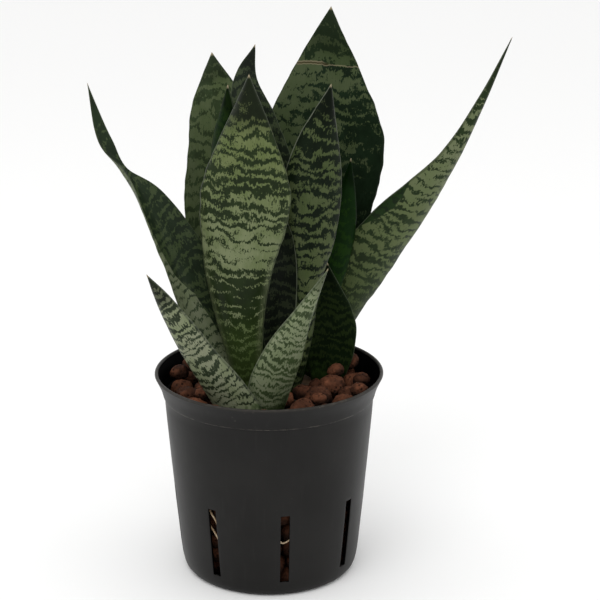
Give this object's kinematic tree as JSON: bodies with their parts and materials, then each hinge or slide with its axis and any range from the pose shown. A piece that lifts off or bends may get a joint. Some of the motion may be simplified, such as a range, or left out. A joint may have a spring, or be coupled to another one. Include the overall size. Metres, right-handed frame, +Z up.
{
  "type": "potted snake plant",
  "caption": "Snake plant with stiff upright mottled leaves, growing from a rhizome in a slotted plastic grow pot filled with expanded clay pebbles.",
  "frame": {"origin": "centre of the pot's flat underside, on the surface it stands on", "axes": "+Z up; -Y is the front, which the picture shows; +X to the right seen from the front"},
  "size_m": [0.2295, 0.1386, 0.314],
  "materials": {
    "pot_plastic": "satin",
    "fired_clay": "matte",
    "leaf": "satin",
    "rhizome_flesh": "matte",
    "root_fibre": "matte"
  },
  "bodies": {
    "root": {"grow_pot": "pot_plastic", "clay_pebble_bed": "fired_clay", "rhizome": "rhizome_flesh", "root_left_upper": "root_fibre", "root_left_lower": "root_fibre", "root_front": "root_fibre", "leaf_front_centre": "leaf", "leaf_centre_right": "leaf", "leaf_back_right_tall": "leaf", "leaf_right_leaning": "leaf", "leaf_far_left": "leaf", "leaf_back_left": "leaf", "leaf_back_centre": "leaf", "leaf_inner_left": "leaf", "leaf_inner_right": "leaf", "leaf_right_low": "leaf", "leaf_pup_right": "leaf", "leaf_pup_left": "leaf", "clay_pebble_01": "fired_clay", "clay_pebble_02": "fired_clay", "clay_pebble_03": "fired_clay", "clay_pebble_04": "fired_clay", "clay_pebble_05": "fired_clay", "clay_pebble_06": "fired_clay", "clay_pebble_07": "fired_clay", "clay_pebble_08": "fired_clay", "clay_pebble_09": "fired_clay", "clay_pebble_10": "fired_clay", "clay_pebble_11": "fired_clay", "clay_pebble_12": "fired_clay", "clay_pebble_13": "fired_clay", "clay_pebble_14": "fired_clay", "clay_pebble_15": "fired_clay", "clay_pebble_16": "fired_clay", "clay_pebble_17": "fired_clay", "clay_pebble_18": "fired_clay", "clay_pebble_19": "fired_clay", "clay_pebble_20": "fired_clay", "clay_pebble_21": "fired_clay", "clay_pebble_22": "fired_clay", "clay_pebble_23": "fired_clay", "clay_pebble_24": "fired_clay", "clay_pebble_25": "fired_clay", "clay_pebble_26": "fired_clay", "clay_pebble_27": "fired_clay", "clay_pebble_28": "fired_clay", "clay_pebble_29": "fired_clay", "clay_pebble_30": "fired_clay", "clay_pebble_31": "fired_clay", "clay_pebble_32": "fired_clay", "clay_pebble_33": "fired_clay", "clay_pebble_34": "fired_clay", "clay_pebble_35": "fired_clay", "clay_pebble_36": "fired_clay", "clay_pebble_37": "fired_clay", "clay_pebble_38": "fired_clay", "clay_pebble_39": "fired_clay"}
  },
  "joints": []
}
